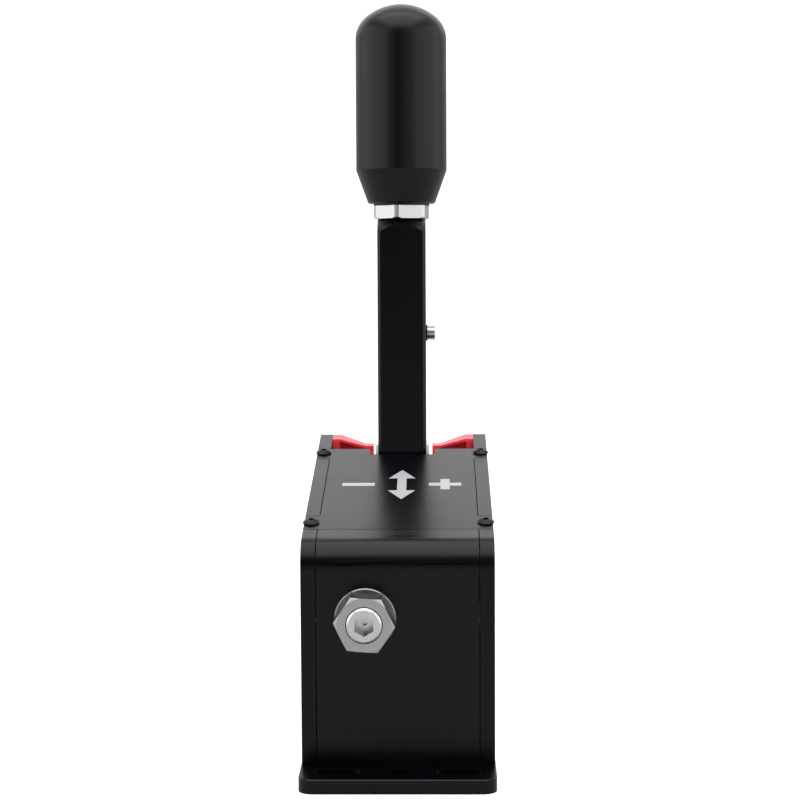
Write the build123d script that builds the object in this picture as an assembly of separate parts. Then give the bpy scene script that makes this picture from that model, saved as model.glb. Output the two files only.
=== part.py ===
"""A sequential shifter for a sim racing rig, in millimetres.

The origin is the centre of the base plate's underside. +X is right, +Y is away from the driver's
view of the front panel, and +Z is up. The lever rocks about a shaft across the housing, and its
sub-parts are drawn upright at that shaft before they are leaned back.
"""

from build123d import *
import math
import os
from dataclasses import dataclass

# Clearances that are shared by every fit
slip = 0.05
seam = 0.3
running = 0.05
overrun = 1.0
edge_break = 0.4

# Base plate
base_ledge = 19.4
base_side_ledge = 0.25
base_thickness = 5.0
base_corner_radius = 5.0
slot_length = 17.0
slot_width = 6.5
slot_pitch = 41.5

# Housing plates
body_length = 134.0
body_width = 66.0
front_height = 75.3
top_slope = 10.8
side_thickness = 5.0
front_thickness = 5.0
rear_thickness = 5.0
top_thickness = 3.0
bend_radius = 10.0
rear_bend_radius = 6.8
front_seam_inset = 16.0
rear_panel_height = 91.0
rear_notch_depth = 16.0

# Top plate's screwed tabs and the notch that the lever comes through
front_tab_length = 13.0
rear_tab_length = 11.7
tab_corner_radius = 1.8
front_tab_screw_inset = 6.3
rear_tab_screw_inset = 5.4
notch_guide_gap = 0.9
notch_depth = 7.0
notch_front_gap = 2.55
notch_corner_radius = 1.2

# Red guides each side of the lever's slot
guide_front_inset = 13.45
guide_depth = 6.35
guide_height = 26.0
guide_pad_gap = 1.2
guide_top_flat = 3.0
guide_slope_width = 10.2
guide_slope_drop = 2.75
guide_shelf_rise = 0.3
guide_pocket_depth = 4.0
guide_pocket_height = 12.0
guide_post_width = 2.7
guide_lip = 1.0
guide_inner_post = 1.9
guide_screw_rise = 4.5
guide_screw_pitch = 6.5
guide_screw_length = 12.0

# Spring preload adjuster on the front panel
adjuster_x = -11.0
adjuster_radius = 5.95
adjuster_hole_gap = 0.3
adjuster_chamfer = 0.6
adjuster_proud = 0.9
adjuster_socket_width = 6.3
adjuster_socket_depth = 6.0
adjuster_socket_turn = 30.0
adjuster_pip_radius = 1.0
adjuster_pip_depth = 1.5
washer_radius = 10.5
washer_thickness = 2.0
lock_nut_width = 18.0
lock_nut_height = 10.8
lock_nut_turn = 4.0
lock_nut_chamfer = 1.2
lock_nut_chamfer_angle = 30.0
boss_radius = 11.0
boss_length = 8.0

# Lever and its pivot
pivot_rear_inset = 19.3
lever_lean = 1.82
shaft_radius = 4.0
hub_radius = 13.0
hub_width = 20.0
hub_web = 8.0
hub_web_bore_radius = 8.0
stem_width = 11.8
stem_depth = 15.8
stem_top = 132.0
stem_edge = 0.8
tube_width = 18.8
tube_depth = 23.0
tube_bottom = 57.0
tube_top = 162.65
tube_edge_chamfer = 1.1
tube_top_radius = 9.1
stem_gap = 0.1
cavity_end_gap = 5.0
height_travel = 18.0
tail_width = 10.0
tail_depth = 8.0
tail_gap = 1.0
arm_boss_radius = 5.0
arm_boss_reach = 13.0

# Ball bearings in the lever's hub
bearing_outer_radius = 9.5
bearing_outer_wall = 1.7
bearing_inner_wall = 1.9
ball_radius = 1.4
ball_count = 9
shield_thickness = 0.4
shield_inset = 0.2
spacer_wall = 1.5

# Drive pin, roller and yoke that turn the lever's swing into the rod's slide
drive_pin_radius = 2.5
drive_pin_length = 19.0
drive_pin_seat = 9.0
roller_radius = 4.0
roller_width = 6.0
clip_thickness = 0.8
clip_radial = 1.6
groove_depth = 0.5
yoke_width = 8.0
yoke_wall = 4.0
yoke_length_front = 7.5
yoke_floor = 5.5
yoke_top_rise = 6.0
hub_yoke_gap = 5.0

# Centring rod with its collar, springs and guide
rod_radius = 4.0
rod_entry = 5.5
rod_shoulder_gap = 2.3
rod_tail_radius = 2.5
rod_tail_thread = 6.0
jam_nut_width = 8.0
jam_nut_height = 2.7
rear_spring_length = 26.0
collar_length = 6.0
collar_radius = 8.5
spring_mean_radius = 7.0
spring_wire_radius = 1.0
front_spring_turns = 7
rear_spring_turns = 5
cup_flange_radius = 8.5
cup_flange_thickness = 3.0
cup_inset = 17.0
cup_spigot_radius = 5.3
cup_spigot_length = 12.0
cup_floor = 1.2
guide_block_length = 8.0
guide_block_height = 19.0
guide_block_edge = 9.0
bushing_wall = 2.0
block_screw_pitch = 12.0
block_screw_length = 12.0

# Stop block under the lever's tail
bumper_gap = 1.5
bumper_length = 3.0
bumper_radius = 3.2
bumper_rise = 5.4
stop_post = 5.0
stop_width = 20.0
stop_floor = 2.0
stop_height = 9.0
stop_hub_gap = 1.0
stop_screw_length = 6.0

# Sensor board on the right side plate
board_thickness = 1.6
board_standoff = 5.0
board_length = 32.0
board_height = 30.0
board_sensor_rise = 19.5
board_rear_gap = 1.0
board_hole_inset = 3.5
standoff_radius = 2.5
magnet_radius = 3.0
magnet_length = 3.0
sensor_width = 4.0
sensor_height = 3.0
sensor_thickness = 1.5
chip_width = 7.0
chip_thickness = 1.2
chip_rise = 9.0
small_chip_width = 2.4
small_chip_pitch = 4.5
small_chip_count = 4
socket_width = 9.0
socket_thickness = 3.2
socket_length = 7.5
socket_wall = 0.3
socket_recess = 0.4
socket_gap = 0.5
socket_rise = 10.0
tongue_thickness = 0.7
tongue_width = 6.7
tongue_inset = 1.0

# Lever's height lock
lock_drop = 44.85
lock_slot_width = 3.4
lock_washer_radius = 3.25
lock_washer_thickness = 0.5
lock_screw_length = 12.0
pad_thickness = 1.1
pad_width = 17.0
pad_height = 17.0

# Knob and what holds it
stud_radius = 5.95
stud_seat = 14.0
nut_width = 20.2
nut_corner_radius = 11.2
nut_height = 5.1
nut_turn = 20.7
nut_chamfer = 0.5
ring_radius = 11.0
ring_height = 0.85
knob_radius = 17.8
knob_height = 77.7
knob_foot_radius = 13.1
knob_cone_height = 13.0
knob_crown_radius = 21.4
knob_shoulder_radius = 11.0
knob_foot_edge = 0.8
insert_radius = 8.5
insert_length = 32.0
stud_reach = 26.0


@dataclass(frozen=True)
class ScrewSize:
    """One thread size with its head's sizes."""

    thread_radius: float
    head_radius: float
    head_height: float
    socket_width: float
    socket_depth: float


# Head radius, head height, socket width and socket depth as shares of the thread's radius
button_head_shares = (1.95, 1.1, 1.33, 0.67)
button_rim_share = 0.3
sunk_head_shares = (2.0, 1.0, 1.33, 0.7)
cap_head_shares = (1.83, 2.0, 1.67, 1.0)
m2_radius = 1.0
m25_radius = 1.25
m3_radius = 1.5
m5_radius = 2.5
tab_screw_length = 9.0
base_screw_length = 14.0
panel_screw_length = 14.0
pivot_screw_length = 16.0
board_screw_length = 5.0
base_screw_pitch = 36.0
panel_screw_inset = 2.8
panel_screw_low = 20.0
panel_screw_high = 60.0


def screw_size(thread_radius, head_shares):
    """A screw's sizes worked out from its thread's radius."""
    return ScrewSize(thread_radius, *(thread_radius * share for share in head_shares))


button_m3 = screw_size(m3_radius, button_head_shares)
sunk_m25 = screw_size(m25_radius, sunk_head_shares)
sunk_m3 = screw_size(m3_radius, sunk_head_shares)
sunk_m5 = screw_size(m5_radius, sunk_head_shares)
cap_m3 = screw_size(m3_radius, cap_head_shares)
cap_m2 = screw_size(m2_radius, cap_head_shares)

# Places that follow from the sizes above
half_length = body_length / 2
half_width = body_width / 2
inner_half = half_width - side_thickness
panel_half = inner_half - seam
slope_rad = math.radians(top_slope)
base_length = body_length + 2 * base_ledge
base_width = body_width + 2 * base_side_ledge
slot_row_y = half_length + base_ledge / 2
front_seam_y = -half_length + front_seam_inset
top_plate_front = front_seam_y + seam
pivot_y = half_length - pivot_rear_inset
pivot_height = base_thickness + stop_height + stop_hub_gap + hub_radius
notch_y = pivot_y - tube_depth / 2 - notch_front_gap
top_plate_rear = notch_y + notch_depth
front_tab_end = top_plate_front + front_tab_length
rear_tab_start = top_plate_rear - rear_tab_length
washer_front = -half_length - washer_thickness
nut_front = washer_front - lock_nut_height
guide_inner_gap = tube_width / 2 + pad_thickness + guide_pad_gap
notch_width = 2 * (guide_inner_gap + notch_guide_gap)
guide_front = half_length - guide_front_inset
guide_rear = guide_front + guide_depth
drive_arm = hub_radius + hub_yoke_gap + yoke_wall + yoke_floor
adjuster_height = pivot_height + drive_arm
tail_end = pivot_height - base_thickness - stop_floor - tail_gap
bumper_height = base_thickness + bumper_rise
rod_y_at_pin = pivot_y + drive_arm * math.sin(math.radians(lever_lean))
yoke_front = rod_y_at_pin - roller_radius - running - yoke_length_front
rod_shoulder = yoke_front - jam_nut_height
guide_block_front = rod_shoulder - rod_shoulder_gap - guide_block_length
collar_rear = guide_block_front - rear_spring_length
collar_front = collar_rear - collar_length
cup_flange_front = -half_length + cup_inset
cup_seat = cup_flange_front + cup_flange_thickness
rod_front = cup_seat + rod_entry
board_face = inner_half - board_standoff
board_inner = board_face - board_thickness
board_rear = half_length - rear_thickness - board_rear_gap
board_front = board_rear - board_length
board_low = adjuster_height - board_sensor_rise
socket_low = board_low + socket_rise
lock_height = tube_top - lock_drop
tail_y = pivot_y - (pivot_height - bumper_height) * math.tan(math.radians(lever_lean))
nut_base = tube_top
ring_base = nut_base + nut_height
knob_base = ring_base + ring_height
lever_place = Pos(0, pivot_y, pivot_height) * Rot(-lever_lean, 0, 0)


def top_height(y):
    """Height of the sloped top plane over a place along the housing."""
    return base_thickness + front_height + math.tan(slope_rad) * (y + half_length)


def block(x_limits, y_limits, z_limits):
    """A box between a low and a high limit on each axis."""
    limits = (x_limits, y_limits, z_limits)
    centre = [(low + high) / 2 for low, high in limits]
    size = [high - low for low, high in limits]
    return Pos(*centre) * Box(*size)


def along_x(radius, low, high, y, z):
    """A round bar along X."""
    return Pos((low + high) / 2, y, z) * Rot(0, 90, 0) * Cylinder(radius, high - low)


def along_y(radius, low, high, x, z):
    """A round bar along Y."""
    return Pos(x, (low + high) / 2, z) * Rot(-90, 0, 0) * Cylinder(radius, high - low)


def along_z(radius, low, high, x, y):
    """A round bar along Z."""
    return Pos(x, y, (low + high) / 2) * Cylinder(radius, high - low)


def hexagon(plane, width, turn=0):
    """A regular hexagon, given its size across flats, on a plane."""
    return plane * (Rot(0, 0, turn) * RegularPolygon(width / 2, 6, major_radius=False))


def group(solids):
    """Separate solids kept together as one sub-part."""
    return Compound(children=list(solids))


def nearest_corner(sketch, x, y):
    """The corner of a sketch that lies nearest to a point."""
    return sketch.vertices().sort_by_distance((x, y, 0))[0]


def side_profile():
    """The housing's outline from the side, with its two rounded top corners."""
    outline = Polygon(
        (-half_length, base_thickness),
        (half_length, base_thickness),
        (half_length, top_height(half_length)),
        (-half_length, top_height(-half_length)),
        align=None,
    )
    rear = nearest_corner(outline, half_length, top_height(half_length))
    outline = fillet(rear, rear_bend_radius)
    front = nearest_corner(outline, -half_length, top_height(-half_length))
    return fillet(front, bend_radius)


def across(profile, low, high):
    """A side profile carried across the housing between two places on X."""
    return extrude(Plane.YZ.offset(low) * profile, amount=high - low, dir=(1, 0, 0))


def top_slab(drop, thickness):
    """The layer that starts a given depth under the sloped top plane."""
    upper = drop / math.cos(slope_rad)
    lower = (drop + thickness) / math.cos(slope_rad)
    ends = (-half_length, half_length)
    points = [(y, top_height(y) - upper) for y in ends]
    points += [(y, top_height(y) - lower) for y in reversed(ends)]
    return across(Polygon(*points, align=None), -half_width, half_width)


def top_outline(grow):
    """The top plate seen from above, or the recess for it when grown by the seam."""
    edge = inner_half - seam + grow
    front = top_plate_front - grow
    rear = top_plate_rear + grow
    notch_half = notch_width / 2 - grow
    notch_floor = notch_y + grow
    tab_end = front_tab_end + grow
    tab_start = rear_tab_start - grow
    right = [
        (half_width, front),
        (half_width, tab_end),
        (edge, tab_end),
        (edge, tab_start),
        (half_width, tab_start),
        (half_width, rear),
        (notch_half, rear),
        (notch_half, notch_floor),
    ]
    left = [(-x, y) for x, y in reversed(right)]
    outline = Polygon(*right, *left, align=None)
    inner = [nearest_corner(outline, s * edge, y) for s in (-1, 1) for y in (tab_end, tab_start)]
    outline = fillet(inner, tab_corner_radius - grow)
    mouth = [nearest_corner(outline, s * notch_half, rear) for s in (-1, 1)]
    return fillet(mouth, notch_corner_radius)


def screw(size, length, sunk=False):
    """A socket screw along Z whose head seats at the origin and whose thread runs down."""
    shank = along_z(size.thread_radius, -length, 0, 0, 0)
    if sunk:
        drop = size.head_radius - size.thread_radius
        head = Pos(0, 0, -drop / 2) * Cone(size.thread_radius, size.head_radius, drop)
        top = 0
    else:
        head = along_z(size.head_radius, 0, size.head_height, 0, 0)
        top = size.head_height
    socket_floor = top - size.socket_depth
    socket = extrude(hexagon(Plane.XY.offset(socket_floor), size.socket_width), size.socket_depth)
    return head + shank - socket


def domed_screw(size, length):
    """A button-head screw along Z with a low dome over a straight rim."""
    height = size.head_height
    rise = height * (1 - button_rim_share)
    chord = size.head_radius
    sphere_radius = (chord**2 + rise**2) / (2 * rise)
    dome = Pos(0, 0, height - sphere_radius) * Sphere(sphere_radius)
    head = dome & along_z(chord, 0, height, 0, 0)
    head -= extrude(hexagon(Plane.XY.offset(height - size.socket_depth), size.socket_width), height)
    return head + along_z(size.thread_radius, -length, 0, 0, 0)


def screw_hole(size, length, sunk=False):
    """The room that a screw takes, with slip round the thread."""
    hole = along_z(size.thread_radius + slip, -length - overrun, overrun, 0, 0)
    if sunk:
        drop = size.head_radius - size.thread_radius
        low, high = size.thread_radius + slip, size.head_radius + slip
        hole += Pos(0, 0, -drop / 2) * Cone(low, high, drop)
        hole += along_z(high, 0, overrun, 0, 0)
    return hole


def on_side(side, y, z):
    """The place on the outside of one side plate where a screw's head seats, pointing in."""
    return Pos(side * half_width, y, z) * Rot(0, side * 90, 0)


def tab_screw_places():
    """The four places on the sloped top where the top plate is screwed down."""
    x = half_width - side_thickness / 2
    rows = (top_plate_front + front_tab_screw_inset, top_plate_rear - rear_tab_screw_inset)
    return [Pos(s * x, y, top_height(y)) * Rot(top_slope, 0, 0) for s in (-1, 1) for y in rows]


def base_screw_places():
    """Places under the base plate for the screws into the front and rear panels."""
    rows = (-half_length + front_thickness / 2, half_length - rear_thickness / 2)
    return [Pos(s * base_screw_pitch / 2, y, 0) * Rot(180, 0, 0) for s in (-1, 1) for y in rows]


def stop_screw_places():
    """Places under the base plate for the screws into the stop block."""
    x = stop_width / 4
    reach = tail_depth / 2 + bumper_gap + bumper_length + stop_post / 2
    return [Pos(s * x, tail_y + s * reach, 0) * Rot(180, 0, 0) for s in (-1, 1)]


def panel_screw_places():
    """Places on the side plates for the screws into the front and rear panels."""
    front = -half_length + panel_screw_inset
    rear = half_length - panel_screw_inset
    heights = (panel_screw_low, panel_screw_high)
    return [on_side(s, y, z) for s in (-1, 1) for y in (front, rear) for z in heights]


def guide_screw_places():
    """Places on the side plates for the screws into the red guides."""
    low = top_height(guide_front) - guide_height + guide_screw_rise
    y = (guide_front + guide_rear) / 2
    return [on_side(s, y, z) for s in (-1, 1) for z in (low, low + guide_screw_pitch)]


def block_screw_places():
    """Places on the left side plate for the screws into the rod's guide block."""
    y = guide_block_front + guide_block_length / 2
    return [on_side(-1, y, adjuster_height + s * block_screw_pitch / 2) for s in (-1, 1)]


def pivot_screw_places():
    """Places on the side plates for the screws into the ends of the pivot shaft."""
    return [on_side(s, pivot_y, pivot_height) for s in (-1, 1)]


def board_places():
    """Centres of the board's two mounting holes, at opposite corners."""
    low = (board_front + board_hole_inset, board_low + board_hole_inset)
    high = (board_rear - board_hole_inset, board_low + board_height - board_hole_inset)
    return [low, high]


def base_plate():
    """Flat base with slots for the rig's screws on both ledges."""
    plate = extrude(RectangleRounded(base_width, base_length, base_corner_radius), base_thickness)
    plate = chamfer(plate.faces().sort_by(Axis.Z)[-1].outer_wire().edges(), edge_break)
    slot = extrude(SlotOverall(slot_length, slot_width), base_thickness)
    hole = along_z(slot_width / 2, 0, base_thickness, 0, 0)
    for side in (-1, 1):
        plate -= Pos(0, side * slot_row_y, 0) * hole
        for x in (-slot_pitch / 2, slot_pitch / 2):
            plate -= Pos(x, side * slot_row_y, 0) * slot
    for place in base_screw_places():
        plate -= place * screw_hole(sunk_m3, base_screw_length, sunk=True)
    for place in stop_screw_places():
        plate -= place * screw_hole(sunk_m3, base_thickness + stop_screw_length, sunk=True)
    return plate


def side_plate(side):
    """One side plate with recesses for the top plate's tabs."""
    low, high = sorted((side * inner_half, side * half_width))
    plate = across(side_profile(), low, high)
    tall = extrude(top_outline(seam), top_height(half_length) + overrun, dir=(0, 0, 1))
    recess = tall & top_slab(0, top_thickness)
    plate -= recess
    for place in tab_screw_places():
        plate -= place * screw_hole(button_m3, tab_screw_length)
    for place in panel_screw_places():
        plate -= place * screw_hole(sunk_m25, panel_screw_length, sunk=True)
    for place in guide_screw_places():
        plate -= place * screw_hole(sunk_m3, guide_screw_length, sunk=True)
    for place in pivot_screw_places():
        plate -= place * screw_hole(sunk_m5, pivot_screw_length, sunk=True)
    if side < 0:
        for place in block_screw_places():
            plate -= place * screw_hole(sunk_m3, block_screw_length, sunk=True)
    else:
        blind_end = half_width - edge_break
        for y, z in board_places():
            plate -= along_x(cap_m2.thread_radius + slip, board_face - overrun, blind_end, y, z)
    return plate


def front_panel():
    """Bent front panel that carries on over the top to the seam."""
    drop = front_thickness / math.cos(slope_rad)
    inner_y = -half_length + front_thickness
    profile = Polygon(
        (-half_length, base_thickness),
        (-half_length, top_height(-half_length)),
        (front_seam_y, top_height(front_seam_y)),
        (front_seam_y, top_height(front_seam_y) - drop),
        (inner_y, top_height(inner_y) - drop),
        (inner_y, base_thickness),
        align=None,
    )
    outer = nearest_corner(profile, -half_length, top_height(-half_length))
    profile = fillet(outer, bend_radius)
    inner = nearest_corner(profile, inner_y, top_height(inner_y) - drop)
    profile = fillet(inner, bend_radius - front_thickness)
    panel = across(profile, -panel_half, panel_half)
    panel += along_y(boss_radius, inner_y, inner_y + boss_length, adjuster_x, adjuster_height)
    hole_radius = adjuster_radius + running
    panel -= along_y(hole_radius, -half_length, inner_y + boss_length, adjuster_x, adjuster_height)
    for place in panel_screw_places():
        panel -= place * screw_hole(sunk_m25, panel_screw_length)
    for place in base_screw_places():
        panel -= place * screw_hole(sunk_m3, base_screw_length)
    return panel


def rear_panel():
    """Rear panel with a notch for the lever's swing and a cut-out for the cable socket."""
    rear = (half_length - rear_thickness, half_length)
    top = base_thickness + rear_panel_height
    panel = block((-panel_half, panel_half), rear, (base_thickness, top))
    panel -= block((-guide_inner_gap, guide_inner_gap), rear, (top - rear_notch_depth, top))
    x_limits = (board_inner - socket_thickness - socket_gap, board_inner + socket_gap)
    z_limits = (socket_low - socket_gap, socket_low + socket_width + socket_gap)
    panel -= block(x_limits, rear, z_limits)
    for place in panel_screw_places():
        panel -= place * screw_hole(sunk_m25, panel_screw_length)
    for place in base_screw_places():
        panel -= place * screw_hole(sunk_m3, base_screw_length)
    return panel


def top_plate():
    """Sloped top plate with four tabs and the lever's notch."""
    tall = extrude(top_outline(0), top_height(half_length) + overrun, dir=(0, 0, 1))
    plate = tall & top_slab(0, top_thickness)
    for place in tab_screw_places():
        plate -= place * screw_hole(button_m3, tab_screw_length)
    return plate


def guide_section(side, y):
    """A red guide's section: its rim follows the slope and its shelf rises less."""
    rim = top_height(y)
    rise = guide_shelf_rise * (y - guide_front) / guide_depth
    shelf = top_height(guide_front) - guide_slope_drop + rise
    low = top_height(guide_front) - guide_height
    slope_start = inner_half - guide_top_flat
    corners = [
        (inner_half - slip, rim),
        (slope_start, rim),
        (slope_start - guide_slope_width, shelf),
        (guide_inner_gap, shelf),
        (guide_inner_gap, low),
        (inner_half - slip, low),
    ]
    return Plane.XZ.offset(-y) * Polygon(*[(side * x, z) for x, z in corners], align=None)


def slot_guide(side):
    """One red guide beside the lever's slot, with a pocket in its front face."""
    body = loft([guide_section(side, guide_front), guide_section(side, guide_rear)], ruled=True)
    body &= across(side_profile(), -half_width, half_width)
    top = top_height(guide_front)
    slope_start = inner_half - guide_top_flat
    pocket_outer = inner_half - guide_post_width
    pocket_inner = guide_inner_gap + guide_inner_post
    pitch = guide_slope_drop / guide_slope_width
    slope_run = slope_start - pocket_inner
    pocket = Polygon(
        (side * pocket_outer, top - guide_lip),
        (side * slope_start, top - guide_lip),
        (side * pocket_inner, top - guide_lip - pitch * slope_run),
        (side * pocket_inner, top - guide_pocket_height),
        (side * pocket_outer, top - guide_pocket_height),
        align=None,
    )
    body -= extrude(Plane.XZ.offset(-guide_front) * pocket, amount=guide_pocket_depth, dir=(0, 1, 0))
    for place in guide_screw_places():
        body -= place * screw_hole(sunk_m3, guide_screw_length)
    return body


def preload_washer():
    """Thick round washer between the front panel and the lock nut."""
    ring = along_y(washer_radius, washer_front, -half_length, adjuster_x, adjuster_height)
    ring = chamfer(ring.edges().group_by(Axis.Y)[0], edge_break)
    bore_radius = adjuster_radius + adjuster_hole_gap
    return ring - along_y(bore_radius, washer_front, -half_length, adjuster_x, adjuster_height)


def preload_lock_nut():
    """Hexagon nut with a chamfered front face."""
    plane = Plane(origin=(adjuster_x, washer_front, adjuster_height), x_dir=(1, 0, 0), z_dir=(0, -1, 0))
    nut = extrude(hexagon(plane, lock_nut_width, -lock_nut_turn), lock_nut_height)
    corner_radius = lock_nut_width / 2 / math.cos(math.pi / 6)
    turned = along_y(corner_radius, nut_front, washer_front, adjuster_x, adjuster_height)
    front_edge = turned.edges().group_by(Axis.Y)[0]
    front_face = turned.faces().sort_by(Axis.Y)[0]
    axial = lock_nut_chamfer * math.tan(math.radians(lock_nut_chamfer_angle))
    turned = chamfer(front_edge, lock_nut_chamfer, axial, reference=front_face)
    bore_radius = adjuster_radius + adjuster_hole_gap
    return (nut & turned) - along_y(bore_radius, nut_front, washer_front, adjuster_x, adjuster_height)


def preload_screw():
    """Threaded adjuster with a chamfered end and a hexagon socket."""
    front = nut_front - adjuster_proud
    bar = along_y(adjuster_radius, front, cup_flange_front - running, adjuster_x, adjuster_height)
    bar = chamfer(bar.edges().group_by(Axis.Y)[0], adjuster_chamfer)
    socket_floor = front + adjuster_socket_depth
    plane = Plane(origin=(adjuster_x, front, adjuster_height), x_dir=(1, 0, 0), z_dir=(0, -1, 0))
    bar -= extrude(hexagon(plane, adjuster_socket_width, adjuster_socket_turn), -adjuster_socket_depth)
    pip_end = socket_floor + adjuster_pip_depth
    return bar - along_y(adjuster_pip_radius, front, pip_end, adjuster_x, adjuster_height)


def spring_cup():
    """Cup that the adjuster pushes and that the front spring sits on."""
    spigot_end = cup_seat + cup_spigot_length
    cup = along_y(cup_flange_radius, cup_flange_front, cup_seat, adjuster_x, adjuster_height)
    cup += along_y(cup_spigot_radius, cup_seat, spigot_end, adjuster_x, adjuster_height)
    bore_start = cup_flange_front + cup_floor
    return cup - along_y(rod_radius + running, bore_start, spigot_end, adjuster_x, adjuster_height)


def coil(low, high, turns):
    """A compression spring along Y between two flat seats."""
    start = low + spring_wire_radius + running
    height = high - low - 2 * (spring_wire_radius + running)
    path = Helix(pitch=height / turns, height=height, radius=spring_mean_radius)
    wire = Plane(origin=path @ 0, z_dir=path % 0) * Circle(spring_wire_radius)
    body = sweep(wire, path=path, is_frenet=True)
    return Pos(adjuster_x, start, adjuster_height) * Rot(-90, 0, 0) * body


def front_spring():
    """Spring between the cup and the rod's collar."""
    return coil(cup_seat, collar_front, front_spring_turns)


def rear_spring():
    """Spring between the rod's collar and the guide block."""
    return coil(collar_rear, guide_block_front, rear_spring_turns)


def centring_rod():
    """Rod with two clip grooves and a thinner threaded tail for the yoke."""
    rod = along_y(rod_radius, rod_front, rod_shoulder, adjuster_x, adjuster_height)
    rod = chamfer(rod.edges().group_by(Axis.Y)[0], edge_break)
    tail_rear = yoke_front + rod_tail_thread
    rod += along_y(rod_tail_radius, rod_shoulder, tail_rear, adjuster_x, adjuster_height)
    for low in (collar_front - clip_thickness, collar_rear):
        high = low + clip_thickness
        groove = along_y(rod_radius + slip, low, high, adjuster_x, adjuster_height)
        groove -= along_y(rod_radius - groove_depth, low, high, adjuster_x, adjuster_height)
        rod -= groove
    return rod


def rod_collar():
    """Collar that both springs press on."""
    collar = along_y(collar_radius, collar_front, collar_rear, adjuster_x, adjuster_height)
    return collar - along_y(rod_radius + slip, collar_front, collar_rear, adjuster_x, adjuster_height)


def rod_collar_clips():
    """Retaining rings each side of the collar."""
    clips = []
    inner = rod_radius - groove_depth + slip
    for low in (collar_front - clip_thickness, collar_rear):
        high = low + clip_thickness
        ring = along_y(inner + clip_radial - slip, low, high, adjuster_x, adjuster_height)
        clips.append(ring - along_y(inner, low, high, adjuster_x, adjuster_height))
    return group(clips)


def rod_yoke():
    """Fork on the rod's tail with an open slot for the lever's roller."""
    slot_half = roller_radius + running
    x_limits = (adjuster_x - yoke_width / 2, adjuster_x + yoke_width / 2)
    rear = rod_y_at_pin + slot_half + yoke_wall
    floor = adjuster_height - yoke_floor - yoke_wall
    body = block(x_limits, (yoke_front, rear), (floor, adjuster_height + yoke_top_rise))
    slot_y = (rod_y_at_pin - slot_half, rod_y_at_pin + slot_half)
    body -= block(x_limits, slot_y, (adjuster_height - yoke_floor, adjuster_height + yoke_top_rise))
    hole_end = yoke_front + rod_tail_thread
    return body - along_y(rod_tail_radius + slip, yoke_front, hole_end, adjuster_x, adjuster_height)


def yoke_jam_nut():
    """Thin nut that locks the yoke on the rod."""
    plane = Plane(origin=(adjuster_x, yoke_front, adjuster_height), x_dir=(1, 0, 0), z_dir=(0, -1, 0))
    nut = extrude(hexagon(plane, jam_nut_width), jam_nut_height)
    low = yoke_front - jam_nut_height
    return nut - along_y(rod_tail_radius + slip, low, yoke_front, adjuster_x, adjuster_height)


def rod_guide_block():
    """Block on the left side plate that carries the rod's bushing."""
    rear = guide_block_front + guide_block_length
    z_limits = (adjuster_height - guide_block_height / 2, adjuster_height + guide_block_height / 2)
    body = block((-inner_half, adjuster_x + guide_block_edge), (guide_block_front, rear), z_limits)
    bore_radius = rod_radius + running + bushing_wall + slip
    body -= along_y(bore_radius, guide_block_front, rear, adjuster_x, adjuster_height)
    for place in block_screw_places():
        body -= place * screw_hole(sunk_m3, block_screw_length)
    return body


def rod_guide_bushing():
    """Plain bronze bushing that the rod slides in."""
    rear = guide_block_front + guide_block_length
    outer = rod_radius + running + bushing_wall
    bush = along_y(outer, guide_block_front, rear, adjuster_x, adjuster_height)
    return bush - along_y(rod_radius + running, guide_block_front, rear, adjuster_x, adjuster_height)


def pivot_shaft():
    """Shaft across the housing with a tapped hole in each end."""
    shaft = along_x(shaft_radius, -inner_half, inner_half, pivot_y, pivot_height)
    for place in pivot_screw_places():
        shaft -= place * screw_hole(sunk_m5, pivot_screw_length)
    return shaft


def pivot_spacers():
    """Tubes on the shaft that hold the bearings' inner rings in place."""
    inner = shaft_radius + slip
    hub_half = hub_width / 2
    spans = ((-inner_half, -hub_half), (-hub_web / 2, hub_web / 2), (hub_half, inner_half))
    tubes = []
    for low, high in spans:
        tube = along_x(inner + spacer_wall, low, high, pivot_y, pivot_height)
        tubes.append(tube - along_x(inner, low, high, pivot_y, pivot_height))
    return group(tubes)


def bearing_spans():
    """Low and high X of the two bearings in the lever's hub."""
    return ((-hub_width / 2, -hub_web / 2), (hub_web / 2, hub_width / 2))


def bearing_rings(inner, outer, ball_ring):
    """Two plain rings with a ball groove, one in each bearing."""
    rings = []
    for low, high in bearing_spans():
        ring = along_x(outer, low, high, pivot_y, pivot_height)
        ring -= along_x(inner, low, high, pivot_y, pivot_height)
        groove = Rot(0, 90, 0) * Torus(ball_ring, ball_radius + running)
        rings.append(ring - Pos((low + high) / 2, pivot_y, pivot_height) * groove)
    return rings


def ball_circle():
    """Radius of the circle that the balls' centres run on."""
    inner_track = shaft_radius + slip + bearing_inner_wall
    outer_track = bearing_outer_radius - bearing_outer_wall
    return (inner_track + outer_track) / 2


def bearing_inner_rings():
    """Inner rings on the shaft."""
    inner = shaft_radius + slip
    return group(bearing_rings(inner, inner + bearing_inner_wall, ball_circle()))


def bearing_outer_rings():
    """Outer rings in the lever's hub."""
    inner = bearing_outer_radius - bearing_outer_wall
    return group(bearing_rings(inner, bearing_outer_radius, ball_circle()))


def bearing_balls():
    """Balls between the rings of both bearings."""
    balls = []
    for low, high in bearing_spans():
        for index in range(ball_count):
            angle = 2 * math.pi * index / ball_count
            y = pivot_y + ball_circle() * math.cos(angle)
            z = pivot_height + ball_circle() * math.sin(angle)
            balls.append(Pos((low + high) / 2, y, z) * Sphere(ball_radius))
    return group(balls)


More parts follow.
